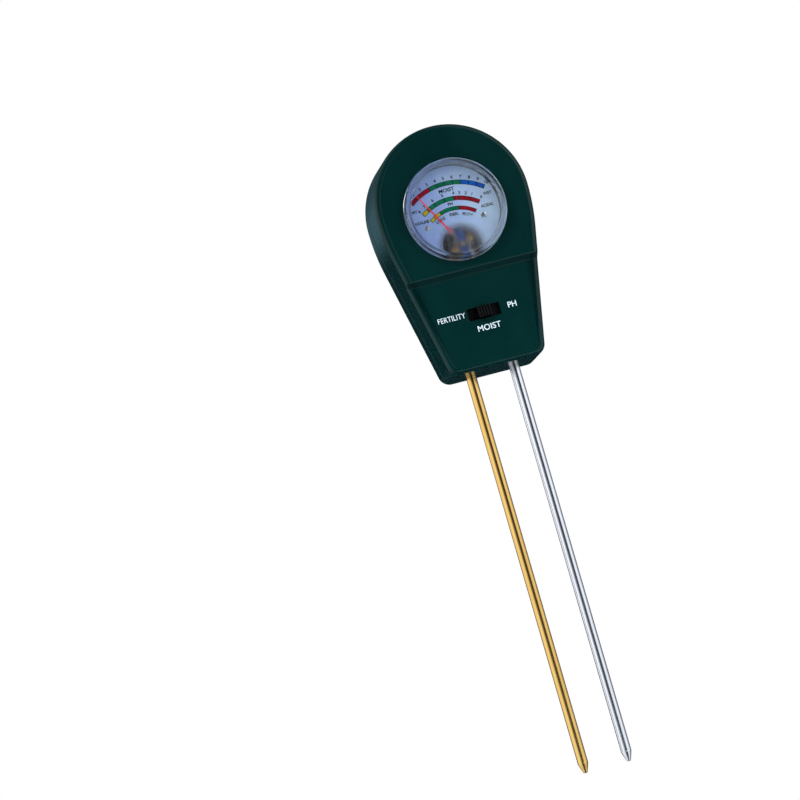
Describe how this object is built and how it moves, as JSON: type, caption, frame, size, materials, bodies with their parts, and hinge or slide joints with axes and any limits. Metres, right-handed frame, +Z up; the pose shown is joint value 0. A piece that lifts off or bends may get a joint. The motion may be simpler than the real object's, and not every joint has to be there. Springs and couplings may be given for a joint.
{
  "type": "soil moisture meter",
  "caption": "Hand-held analogue soil tester: green case with a round dial, slide switch for moisture, pH or fertility, and two long metal probes.",
  "frame": {"origin": "at the soil line, midway between the two probe axes, which lie in the parting plane of the case; the lower end of the case is 58 mm above it", "axes": "+Z up along the probes towards the head, -Y out of the dial, +X to the right seen from the front, towards the silver probe"},
  "size_m": [0.0674, 0.0313, 0.2805],
  "materials": {
    "case": "moulded, satin gloss",
    "lens": "clear moulded acrylic with a frosted patch over the pivot",
    "dial": "printed satin sheet",
    "meter_moulding": "moulded",
    "ferrite": "matte",
    "steel": "plain",
    "screw": "zinc plated",
    "bridge": "blued",
    "brass": "plain",
    "bobbin": "plain",
    "copper": "enamelled copper winding",
    "needle": "red paint",
    "knob": "moulded",
    "board": "phenolic laminate",
    "resistor": "lacquered",
    "red_wire": "wire cover",
    "black_wire": "wire cover",
    "gold_rod": "drawn, brass coloured",
    "silver_rod": "drawn, bright"
  },
  "bodies": {
    "case": {"front_cover": "case", "rear_cover": "case", "lens": "lens", "dial_plate": "dial", "meter_base": "meter_moulding", "ring_magnet": "ferrite", "iron_core": "steel", "front_bridge": "bridge", "rear_bridge": "bridge", "front_jewel_screw": "brass", "rear_jewel_screw": "brass", "front_hairspring": "brass", "rear_hairspring": "brass", "switch_frame": "steel", "switch_base": "board", "circuit_board": "board", "gold_probe": "gold_rod", "silver_probe": "silver_rod", "probe_clamp": "knob", "gold_probe_terminal": "brass", "silver_probe_terminal": "brass", "gold_probe_lead": "red_wire", "silver_probe_lead": "black_wire", "meter_lead_left": "red_wire", "meter_lead_right": "black_wire", "meter_terminal_left": "brass", "meter_terminal_right": "brass", "cover_screw_top": "screw", "cover_screw_left": "screw", "cover_screw_right": "screw", "dial_screw_left": "screw", "dial_screw_right": "screw", "meter_screw_left": "screw", "meter_screw_right": "screw", "rear_bridge_screw_left": "screw", "rear_bridge_screw_right": "screw", "front_bridge_screw": "screw", "switch_screw_left": "screw", "switch_screw_right": "screw", "probe_clamp_screw_left": "screw", "probe_clamp_screw_right": "screw", "switch_terminal_1": "brass", "switch_terminal_2": "brass", "switch_terminal_3": "brass", "switch_terminal_4": "brass", "resistor_1": "resistor", "resistor_2": "resistor", "resistor_3": "resistor"},
    "needle": {"pointer": "needle", "coil_bobbin": "bobbin", "moving_coil": "copper", "front_pivot": "steel", "rear_pivot": "steel", "balance_weight_left": "brass", "balance_weight_right": "brass", "balance_weight_tail": "brass"},
    "switch": {"switch_knob": "knob", "switch_slider": "knob", "sliding_contact": "brass"}
  },
  "joints": [
    {"name": "needle_pivot", "type": "hinge", "parent": "case", "child": "needle", "pos_m": [0, -0.008, 0.112], "axis": [0, 1, 0], "range_deg": [-10, 67], "stiffness_Nm_per_rad": 0.00002, "deforming": ["front_hairspring", "rear_hairspring"]},
    {"name": "switch_slide", "type": "slide", "parent": "case", "child": "switch", "axis": [1, 0, 0], "range_m": [-0.004, 0.004]}
  ]
}
